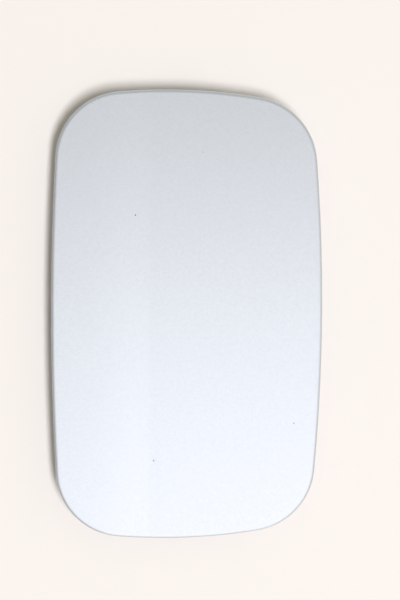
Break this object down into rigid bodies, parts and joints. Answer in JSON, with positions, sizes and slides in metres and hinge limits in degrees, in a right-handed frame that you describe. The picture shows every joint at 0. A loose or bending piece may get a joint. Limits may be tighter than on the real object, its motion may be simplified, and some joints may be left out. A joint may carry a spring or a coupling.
{
  "type": "car fuel door",
  "caption": "Car fuel filler door: crowned, hemmed sheet-metal flap with round corners on a low sprung hinge, with a lock striker and rubber buffers behind.",
  "frame": {"origin": "centre of the door's outline, on the plane that the hinge leaf is screwed to and the buffer tips reach", "axes": "+Z out of the painted face, +Y along the length to the hinged end, +X across the width"},
  "size_m": [0.112, 0.186, 0.0147],
  "materials": {
    "body_paint": "silver metallic paint under clear coat",
    "inner_paint": "thin silver overspray on primed steel, satin",
    "zinc_steel": "zinc-plated pressed steel",
    "bright_steel": "bright drawn steel",
    "spring_steel": "dark oiled spring steel",
    "nylon": "natural nylon",
    "rubber": "matt black rubber"
  },
  "bodies": {
    "hinge_base": {"hinge_leaf": "zinc_steel", "hinge_pin": "bright_steel", "pin_clip": "spring_steel", "torsion_spring": "spring_steel"},
    "door": {"outer_panel": "body_paint", "inner_panel": "inner_paint", "hinge_bracket": "zinc_steel", "bush_left": "nylon", "bush_right": "nylon", "hinge_rivets": "bright_steel", "striker": "zinc_steel", "striker_rivets": "bright_steel", "buffer_left": "rubber", "buffer_right": "rubber"}
  },
  "joints": [
    {"name": "door_swing", "type": "hinge", "parent": "hinge_base", "child": "door", "pos_m": [0, 0.0874, 0.005], "axis": [-1, 0, 0], "range_deg": [0, 85], "stiffness_Nm_per_rad": 0.02, "springref_deg": 108.86, "deforming": ["torsion_spring"]}
  ]
}
